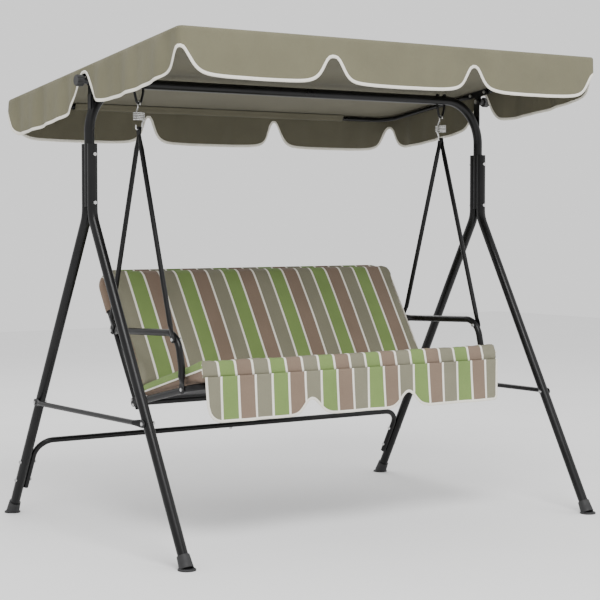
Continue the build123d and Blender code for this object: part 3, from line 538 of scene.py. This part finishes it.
def flap_swing(x, y, side, depth):
    """How far the flap stands out: soft folds that open towards the hem, and room for the knobs."""
    share = depth / FLAP_REACH
    along = x if side in (0, 2) else y
    strength = FLAP_FOLDS[side]
    fold = math.sin(along * 38 + 2.1 * side) + 0.7 * math.sin(along * 71 + side)
    fold += 1.1 * ripple(x, y, 0.0, 11.0, 3.0 * side)
    swing = strength * fold * share ** 0.7 * (1.3 - 0.8 * share)
    swing += 0.003 * share
    if side in (1, 3):
        swing *= 1 - 0.8 * math.exp(-((y / 0.06) ** 2))
    return swing


def canopy_cloth():
    """One sheet: the sagging roof, a soft fold and the scalloped flaps all round."""
    edge = perimeter()
    count = len(edge)
    verts = []
    hem = []
    for i, (x, y, side, outward) in enumerate(edge):
        drop = hem_drop(x, y, side)
        column = list(ROOF_FOLD)
        top = -ROOF_FOLD[-1][1]
        for j in range(1, FLAP_ROWS + 1):
            depth = top + (drop - top) * j / FLAP_ROWS
            column.append((flap_swing(x, y, side, depth), -depth))
        for out, down in column:
            px, py = x + outward.x * out, y + outward.y * out
            verts.append((px, py, roof_z(y) + down))
        hem.append(Vector(verts[-1]))
    depth_count = FLAP_ROWS + len(ROOF_FOLD)
    faces = grid_faces(count, depth_count, close_rows=True)
    centre = Vector((0, (ROOF_FRONT + ROOF_BACK) / 2, 0))
    first = [i * depth_count for i in range(count)]
    previous = first
    for ring in range(1, ROOF_RINGS + 1):
        share = 1 - ring / ROOF_RINGS
        if ring == ROOF_RINGS:
            middle = len(verts)
            verts.append((centre.x, centre.y, roof_z(centre.y) + roof_sag(0, centre.y)))
            faces += [(previous[i], previous[(i + 1) % count], middle) for i in range(count)]
            break
        current = []
        for i in range(count):
            start = verts[first[i]]
            x = centre.x + (start[0] - centre.x) * share
            y = centre.y + (start[1] - centre.y) * share
            current.append(len(verts))
            verts.append((x, y, roof_z(y) + roof_sag(x, y)))
        faces += [
            (previous[i], previous[(i + 1) % count], current[(i + 1) % count], current[i])
            for i in range(count)
        ]
        previous = current
    # the inner faces take the darker copy of the cloth: painted shade under the roof
    piece = make_piece("canopy_cover", verts, faces, CANOPY_CLOTH, CANOPY_INSIDE_SHADED)
    return thicken(piece, COVER_THICK, inner=1), edge, hem


def roof_sag(x, y):
    """The roof dips between the rails and puckers faintly near them."""
    u = min(1.0, abs(x) / ROOF_HALF)
    middle = (ROOF_FRONT + ROOF_BACK) / 2
    v = min(1.0, abs(y - middle) / (ROOF_BACK - middle))
    dip = -ROOF_DIP * (1 - u ** 4) * (1 - v ** 4)
    wrinkle = ROOF_PUCKER * ripple(x, y, 0, 5.0, 7.0) * (1 - max(u, v) ** 6)
    return dip + wrinkle


def canopy_binding(edge, hem):
    """The ivory tape folded over the hem, all the way round."""
    centre_height = 0.0036
    half_height, half_thick = 0.0052, 0.0016
    section = [
        (half_thick * math.cos(a) * (1.0 if abs(math.sin(a)) < 0.9 else 0.8), half_height * math.sin(a))
        for a in np.linspace(0, 2 * math.pi, 12, endpoint=False)
    ]
    centres, frames = [], []
    for i, tangent in enumerate(tangents(hem, closed=True)):
        outward = Vector((edge[i][3].x, edge[i][3].y, 0))
        side = (outward - tangent * tangent.dot(outward)).normalized()
        up = side.cross(tangent)
        if up.z < 0:
            up = -up
        centres.append(hem[i] + up * centre_height)
        frames.append((side, up))
    return sweep_section("canopy_binding", centres, frames, section, BINDING, closed=True)


def rail_sleeve(name, rail_y, half_length):
    """A cloth loop sewn under the roof that holds the middle of a cross rail."""
    rail_z = roof_z(rail_y) - RAIL_DROP
    profile = [(-a, b) for a, b in reversed(SLEEVE_EDGE)]
    for a in np.linspace(math.radians(190), math.radians(350), 11):
        profile.append((SLEEVE_R * math.cos(a), SLEEVE_R * math.sin(a)))
    profile += SLEEVE_EDGE
    stations = np.linspace(-half_length, half_length, 90)
    verts = []
    for x in stations:
        slack = 1 + 0.06 * ripple(x, rail_y, 0, 14.0)
        for a, b in profile:
            y = min(max(rail_y + a, ROOF_FRONT + SLEEVE_INSET), ROOF_BACK - SLEEVE_INSET)
            slope = -ROOF_SLOPE * (y - rail_y)
            verts.append((x, y, rail_z + slope + (b * slack if b < 0 else b)))
    faces = grid_faces(len(stations), len(profile))
    # the sleeve takes the darker inside copy of the canopy cloth: painted shade under the roof
    piece = make_piece(name, verts, faces, CANOPY_INSIDE_SHADED)
    return thicken(piece, SLEEVE_THICK)


def build_canopy():
    cover, edge, hem = canopy_cloth()
    binding = canopy_binding(edge, hem)
    for piece in (cover, binding):
        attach(piece, "canopy")
    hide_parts("canopy_fabric")
    for name, bar in (("front", "canopy_front_bar_left"), ("back", "canopy_back_bar_left")):
        low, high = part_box(bar)
        rail_y = low.y + RAIL_R if name == "front" else high.y - RAIL_R
        sleeve = rail_sleeve(f"canopy_{name}_sleeve", rail_y, SLEEVE_HALF)
        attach(sleeve, "canopy")


# ------------------------------------------------------------------ cushions

def rounded_outline(corners, radii, step=0.008):
    """A closed outline through corners, each rounded by its radius, evenly spaced."""
    count = len(corners)
    points = []
    for i in range(count):
        before, here, after = (Vector(corners[(i + k) % count]) for k in (-1, 0, 1))
        to_before = (before - here).normalized()
        to_after = (after - here).normalized()
        angle = to_before.angle(to_after)
        cut = radii[i] / math.tan(angle / 2)
        start = here + to_before * cut
        end = here + to_after * cut
        for t in np.linspace(0, 1, 9):
            a = start.lerp(here, t)
            b = here.lerp(end, t)
            points.append(a.lerp(b, t))
    points.append(points[0])
    even = resample([(p.x, p.y, 0) for p in points], step)
    return [(p.x, p.y) for p in even[:-1]]


def end_spaced(half, reach, middle_step):
    """Stations across the bench, close together near both ends."""
    near = [half - reach * (1 - math.cos(t)) for t in np.linspace(0, math.pi / 2, 10)]
    inner = half - reach
    count = round(2 * inner / middle_step)
    middle = list(np.linspace(-inner, inner, count + 1))
    left = [-x for x in near][:-1]
    right = near[:-1][::-1]
    return left + middle + right


def pillow(name, outline, seam, half, reach, shape, materials):
    """A sewn cushion: an outline in Y and Z drawn across the bench, drawn in to a seam line at
    both ends. seam(y, z) is the seam point for an outline point, and shape(x, y, z, k) moves a
    point for crown, creases and rounded corners."""
    stations = end_spaced(half, reach, 0.0105)
    verts = []
    for x in stations:
        k = arc_rise(half - abs(x), reach)
        for y, z in outline:
            sy, sz = seam(y, z)
            verts.append(shape(x, sy + (y - sy) * k, sz + (z - sz) * k, k))
    faces = grid_faces(len(stations), len(outline), close_columns=True)
    piece = make_piece(name, verts, faces, *materials)
    return piece


def swell(piece, cap, pressure=4.0):
    """Puff a cushion up with a short cloth simulation, with no point moving more than cap."""
    scene = bpy.context.scene
    remesh = piece.modifiers.new("remesh", "REMESH")
    remesh.mode = "VOXEL"
    remesh.voxel_size = 0.0065
    apply_modifiers(piece)
    rest = np.array([v.co for v in piece.data.vertices])
    cloth = piece.modifiers.new("cloth", "CLOTH")
    cloth.settings.quality = 4
    cloth.settings.mass = 0.25
    cloth.settings.use_pressure = True
    cloth.settings.uniform_pressure_force = pressure
    cloth.settings.tension_stiffness = 25
    cloth.settings.compression_stiffness = 25
    cloth.settings.bending_stiffness = 2.0
    cloth.settings.shrink_min = -0.015
    cloth.settings.effector_weights.gravity = 0
    cloth.point_cache.frame_start = 1
    cloth.point_cache.frame_end = 20
    for step in range(1, 21):
        scene.frame_set(step)
    apply_modifiers(piece)
    moved = np.array([v.co for v in piece.data.vertices])
    scene.frame_set(1)
    shift = moved - rest
    length = np.linalg.norm(shift, axis=1, keepdims=True)
    shift *= np.minimum(1.0, cap / np.maximum(length, 1e-9))
    final = rest + shift
    for vertex, place in zip(piece.data.vertices, final):
        vertex.co = place
    for face in piece.data.polygons:
        face.use_smooth = True
    piece.data.update()
    return piece


def seat_materials(piece):
    """Plain taupe ends and bottom below the seam, plain green ends above it, stripes elsewhere."""
    for face in piece.data.polygons:
        centre, normal = face.center, face.normal
        end = abs(normal.x) > 0.5
        low = is_below_seat_seam(centre.y, centre.z)
        if normal.z < -0.75 or (end and low):
            face.material_index = 1
        elif end:
            face.material_index = 2


def seat_seam_z(y):
    """The side seam's height: it runs from the back up to the front."""
    return SEAT_SEAM[1] + SEAT_SEAM_SLOPE * (SEAT_SEAM[0] - y)


def is_below_seat_seam(y, z):
    return z < seat_seam_z(y) - 0.0005


def seat_cushion():
    """The seat pad, thick at the front, with its side seam part way up."""
    corners = [(-0.3405, 0.5195), (0.050, 0.4325), (0.034, 0.470), (SEAT_FRONT_Y, 0.5725)]
    outline = rounded_outline(corners, [0.006, 0.010, 0.012, 0.0055])

    def seam(y, z):
        return y, seat_seam_z(y)

    def shape(x, y, z, k):
        above = z > seat_seam_z(y)
        u = abs(x) / SEAT_HALF
        depth = min(max((y - SEAT_FRONT_Y) / 0.36, 0.0), 1.0)
        crown = SEAT_CROWN * (1 - u ** 4) * math.sin(math.pi * depth) if above else 0.0
        dent = 0.0022 * ripple(x, y, z, 9.0, 2.0) * k
        pucker = 0.0012 * math.sin(x * 170 + 2 * math.sin(x * 31)) * math.exp(-abs(y - SEAT_FRONT_Y) / 0.02)
        lift = crown + (dent if above else 0.0) + (pucker if above and k > 0.5 else 0.0)
        return (x, y, z + lift)

    return pillow("seat_pad", outline, seam, SEAT_HALF, 0.007, shape, [STRIPED, TAUPE, GREEN_CLOTH])


def back_cushion():
    """The back pad: a leaning slab with rounded top corners and a seam round its edge."""
    length = math.hypot(BACK_SLOPE, 1)
    normal = Vector((1 / length, -BACK_SLOPE / length))
    up = Vector((BACK_SLOPE / length, 1 / length))
    foot = Vector((MEET[0] - 0.001, MEET[1] - 0.001))
    top_z = BACK_HIGH.z + 0.009
    height = (top_z - foot.y) * length
    rear = foot + normal * BACK_THICK
    corners = [foot, rear - up * 0.010, rear + up * (height - 0.004), foot + up * height]
    outline = rounded_outline([tuple(c) for c in corners], [0.010, 0.010, 0.016, 0.018])
    middle = foot + normal * BACK_THICK * 0.30

    def local(y, z):
        offset = Vector((y, z)) - middle
        return offset.dot(normal), offset.dot(up)

    def seam(y, z):
        place = middle + up * local(y, z)[1]
        return place.x, place.y

    def shape(x, y, z, k):
        across, along = local(y, z)
        inset = BACK_HALF - abs(x)
        lowered = BACK_CORNER_R * (1 - arc_rise(inset, BACK_CORNER_R))
        reach = 3.5 * BACK_CORNER_R
        share = min(max((along - (height - reach)) / reach, 0.0), 1.0)
        along -= lowered * share
        u = abs(x) / BACK_HALF
        v = min(max(along / height, 0.0), 1.0)
        crown = 0.0
        if across < 0:
            crown = -BACK_CROWN * (1 - u ** 6) * (1 - (2 * v - 1) ** 4)
            crown += 0.0022 * ripple(x, along, 0.0, 7.0, 5.0) * k
            crown += 0.0011 * math.sin(along * 190) * math.exp(-inset / 0.03) * k
        place = middle + up * along + normal * (across + crown)
        return (x, place.x, place.y)

    piece = pillow("back_pad", outline, seam, BACK_HALF, 0.018, shape, [STRIPED, TAUPE])
    ends = []
    for x_side in (-1, 1):
        points = []
        for along in np.linspace(0.0, height - 0.010, 60):
            y, z = middle + up * along
            points.append(shape(x_side * BACK_HALF, y, z, 0.0))
        for turn in np.linspace(0.12, math.pi / 2, 9):
            inset = BACK_CORNER_R * (1 - math.cos(turn))
            y, z = middle + up * (height - 0.010)
            points.append(shape(x_side * (BACK_HALF - inset), y, z, 0.0))
        ends.append(resample(points, 0.007))
    return piece, ends


def back_materials(piece):
    """Stripes on the front and the top, plain taupe behind and on the ends."""
    length = math.hypot(BACK_SLOPE, 1)
    for face in piece.data.polygons:
        normal = face.normal
        towards_back = (normal.y - BACK_SLOPE * normal.z) / length
        if towards_back > 0.35 or (abs(normal.x) > 0.75 and towards_back > -0.4):
            face.material_index = 1


def build_cushions():
    seat = seat_cushion()
    back, back_seams = back_cushion()
    trims = []
    for side, name in ((-1, "left"), (1, "right")):
        points = [(side * SEAT_HALF, y, seat_seam_z(y)) for y in np.linspace(-0.333, 0.030, 60)]
        trims.append((piping(f"seat_piping_{name}", points, (side, 0, 0)), "seat_cloth"))
    for points, name in zip(back_seams, ("left", "right")):
        side = -1 if name == "left" else 1
        trims.append((piping(f"back_piping_{name}", points, (side, 0, 0.2)), "back_cloth"))
    swell(seat, 0.004)
    seat_materials(seat)
    swell(back, 0.006)
    back_materials(back)
    for piece, slot, node in ((seat, "seat_cloth", "seat_cushion"), (back, "back_cloth", "back_cushion")):
        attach(piece, "seat")
        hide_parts(node)
    for piece, slot in trims:
        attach(piece, "seat")


# ------------------------------------------------------------------ sheets of the seat

def skirt_hem(x):
    """The skirt's drop: three lobes, with a rounded left corner and a squarer right one."""
    value = SKIRT_DROP
    for centre in (-SKIRT_NOTCH_X, SKIRT_NOTCH_X):
        value -= SKIRT_NOTCH * math.exp(-abs((x - centre) / 0.041) ** 2.1)
    for end, radius in ((-1, 0.05), (1, 0.014)):
        inset = SKIRT_HIGH.x + SKIRT_PAST - x * end
        value -= radius * (1 - arc_rise(inset, radius))
    return value


def seat_skirt():
    """The scalloped front flap, in soft vertical waves that grow towards the hem."""
    half = SKIRT_HIGH.x + SKIRT_PAST
    stations = np.linspace(-half, half, 200)
    verts, hem = [], []
    for x in stations:
        drop = skirt_hem(x)
        for j in range(SKIRT_ROWS + 1):
            depth = drop * j / SKIRT_ROWS
            share = depth / SKIRT_REACH
            wave = 0.0026 * math.sin(x * 33 + 0.8) + 0.0018 * math.sin(x * 61)
            wave += 0.0022 * ripple(x, 0, 0, 12, 9)
            y = SKIRT_HIGH.y - 0.0022 - SKIRT_LEAN * share ** 1.2 + wave * share ** 1.2
            narrow = 1 - 0.012 * share
            verts.append((x * narrow, y, SKIRT_HIGH.z - depth))
        hem.append(Vector(verts[-1]))
    column = SKIRT_ROWS + 1
    left = [Vector(v) for v in verts[:column]]
    right = [Vector(v) for v in reversed(verts[-column:])]
    piece = make_piece("seat_skirt_cloth", verts, grid_faces(len(stations), column), STRIPED)
    thicken(piece, SKIRT_THICK)
    border = resample(left + hem[1:-1] + right, 0.006)
    front = Vector((0, -1, 0))
    frames = []
    centres = []
    for point, tangent in zip(border, tangents(border)):
        side = (front - tangent * tangent.dot(front)).normalized()
        inward = side.cross(tangent)
        frames.append((side, inward))
        centres.append(point + inward * 0.0036)
    turns = np.linspace(0, 2 * math.pi, 10, endpoint=False)
    section = [(0.0015 * math.cos(a), 0.0046 * math.sin(a)) for a in turns]
    trim = sweep_section("seat_skirt_binding", centres, frames, section, BINDING)
    return piece, trim


def cushion_hood():
    """The pocket behind the back pad: up its front, over the top rail and down the back."""
    length = math.hypot(RECLINE, 1)
    normal = Vector((1 / length, -RECLINE / length))
    up = Vector((RECLINE / length, 1 / length))
    top = Vector(TOP_RAIL)
    reach = 0.0145
    low = 0.70
    depth = (TOP_RAIL[1] - low) * length
    front = [(-reach + 0.0008, -s) for s in np.linspace(depth, 0.004, 16)]
    over = [(reach * math.cos(a), reach * math.sin(a)) for a in np.linspace(math.pi, 0, 11)]
    back = [(reach, -s) for s in np.linspace(0.008, depth, 18)]
    profile = front + over + back
    half = HOOD_HIGH.x - 0.001
    corner = 0.074
    verts = []
    stations = end_spaced(half, 0.016, 0.012)
    for x in stations:
        inset = half - abs(x)
        k = arc_rise(inset, 0.016)
        lowered = corner * (1 - arc_rise(inset, corner))
        for across, along in profile:
            share = min(max(1 + along / depth, 0.0), 1.0)
            sag = 0.0016 * ripple(x, along, across, 9.0, 4.0) if across > 0.005 else 0.0
            hem_wave = 0.002 * math.sin(x * 24) * (1 - share) if across > 0.005 else 0.0
            place = top + normal * (across * k + sag * k) + up * (along - lowered * share + hem_wave)
            verts.append((x, place.x, place.y))
    piece = make_piece("back_hood", verts, grid_faces(len(stations), len(profile)), TAUPE, STRIPED)
    for face in piece.data.polygons:
        across = (face.center.y - top.x) - RECLINE * (face.center.z - top.y)
        if across < reach * 0.3 and abs(face.center.x) < half - 0.02:
            face.material_index = 1
    return thicken(piece, HOOD_THICK)


def sling_strip():
    """The mesh: round the front rail, across to the rear rail and up over the top rail."""
    r = SEAT_TUBE_R + 0.0016
    front, rear, top = Vector(FRONT_RAIL), Vector(REAR_RAIL), Vector(TOP_RAIL)

    def loop(centre, start, end, steps=14):
        return [
            (centre.x + r * math.cos(a), centre.y + r * math.sin(a))
            for a in np.linspace(math.radians(start), math.radians(end), steps)
        ]

    seat_angle = math.degrees(math.atan2(rear.y - front.y, rear.x - front.x))
    back_angle = math.degrees(math.atan2(top.y - rear.y, top.x - rear.x))
    route = loop(front, seat_angle + 90 + 330, seat_angle + 90, 24)
    span = Vector(route[-1])
    seat_end = loop(rear, seat_angle + 90, back_angle + 90, 6)
    for t in np.linspace(0.05, 0.95, 14):
        place = span.lerp(Vector(seat_end[0]), t)
        route.append((place.x, place.y - 0.004 * math.sin(math.pi * t)))
    route += seat_end
    top_loop = loop(top, back_angle + 90, back_angle + 90 - 330, 24)
    start = Vector(seat_end[-1])
    for t in np.linspace(0.05, 0.95, 16):
        place = start.lerp(Vector(top_loop[0]), t)
        route.append((place.x + 0.003 * math.sin(math.pi * t), place.y))
    route += top_loop
    low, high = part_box("sling")
    stations = np.linspace(low.x, high.x, 70)
    verts = [(x, y, z) for x in stations for y, z in route]
    piece = make_piece("seat_sling", verts, grid_faces(len(stations), len(route)), MESH_CLOTH)
    return thicken(piece, SLING_THICK)


def build_seat_sheets():
    skirt, trim = seat_skirt()
    hood = cushion_hood()
    sling = sling_strip()
    tubes = ["seat_frame", "seat_rear_rail", "back_frame"]
    plan = [
        (skirt, "seat_skirt", "skirt_cloth", "hung", ["seat_pad"], SKIRT_FLAT, [trim]),
        (hood, "cushion_hood", "hood_cloth", "hung", ["back_frame"], HOOD_FLAT, []),
        (sling, "sling", "sling_mesh", "stretched", tubes, SLING_FLAT, []),
    ]
    for piece, node, slot, held, rests_on, flat, extra in plan:
        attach(piece, "seat")
        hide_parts(node)
        for item in extra:
            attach(item, "seat")
        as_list(rests_on)
        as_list(extra)


# ------------------------------------------------------------------ springs

def build_springs():
    """Copies of the CAD springs, smooth shaded and baked in place, standing in for the hidden CAD nodes."""
    for side in ("left", "right"):
        node = frame["nodes"][f"spring_{side}"]
        piece = bpy.data.objects.new(f"hanging_spring_{side}", node.data.copy())
        bpy.context.scene.collection.objects.link(piece)
        for face in piece.data.polygons:
            face.use_smooth = True
        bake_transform(piece)
        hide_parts(f"spring_{side}")


# ------------------------------------------------------------------ stage

def build_stage():
    reach = FLOOR_REACH
    corners = [(-reach, -reach, 0), (reach, -reach, 0), (reach, reach, 0), (-reach, reach, 0)]
    floor = make_piece("floor", corners, [(0, 1, 2, 3)])
    s = Shader("pale_floor")
    s.set(Base_Color=s.mix(s.noise(2.0), (0.86, 0.86, 0.86), (0.9, 0.9, 0.9)), Roughness=0.9)
    floor.data.materials.append(s.material)
    floor.location.z = -0.0005
    world = bpy.data.worlds.new("studio")
    bpy.context.scene.world = world
    world.use_nodes = True
    world.node_tree.nodes["Background"].inputs["Color"].default_value = (1, 1, 1, 1)
    world.node_tree.nodes["Background"].inputs["Strength"].default_value = WORLD_STRENGTH
    add_area("key", (-1.6, -3.3, 5.2), 2.6, 260)
    add_area("fill", (3.8, -3.8, 2.6), 3.0, 28)
    add_area("rim", (1.5, 4.0, 3.8), 2.5, 45)


def add_area(name, place, size, power):
    light = bpy.data.lights.new(name, "AREA")
    light.size = size
    light.energy = power
    lamp = bpy.data.objects.new(name, light)
    lamp.location = place
    aim = Vector((0, 0, 0.8)) - Vector(place)
    lamp.rotation_euler = aim.to_track_quat("-Z", "Y").to_euler()
    bpy.context.scene.collection.objects.link(lamp)


def build_camera():
    azimuth, elevation = math.radians(CAMERA_AZIMUTH), math.radians(CAMERA_ELEVATION)
    back = Vector((
        math.sin(azimuth) * math.cos(elevation),
        -math.cos(azimuth) * math.cos(elevation),
        math.sin(elevation),
    ))
    right = Vector((math.cos(azimuth), math.sin(azimuth), 0))
    up = back.cross(right)
    lens = bpy.data.cameras.new("camera")
    lens.lens = CAMERA_LENS
    lens.sensor_width = 36.0
    camera = bpy.data.objects.new("camera", lens)
    turn = Matrix((right, up, back)).transposed().to_4x4()
    camera.matrix_world = Matrix.Translation(CAMERA_PLACE) @ turn
    bpy.context.scene.collection.objects.link(camera)
    bpy.context.scene.camera = camera


dress_cad_nodes()
build_canopy()
build_cushions()
build_seat_sheets()
build_springs()
build_stage()
build_camera()
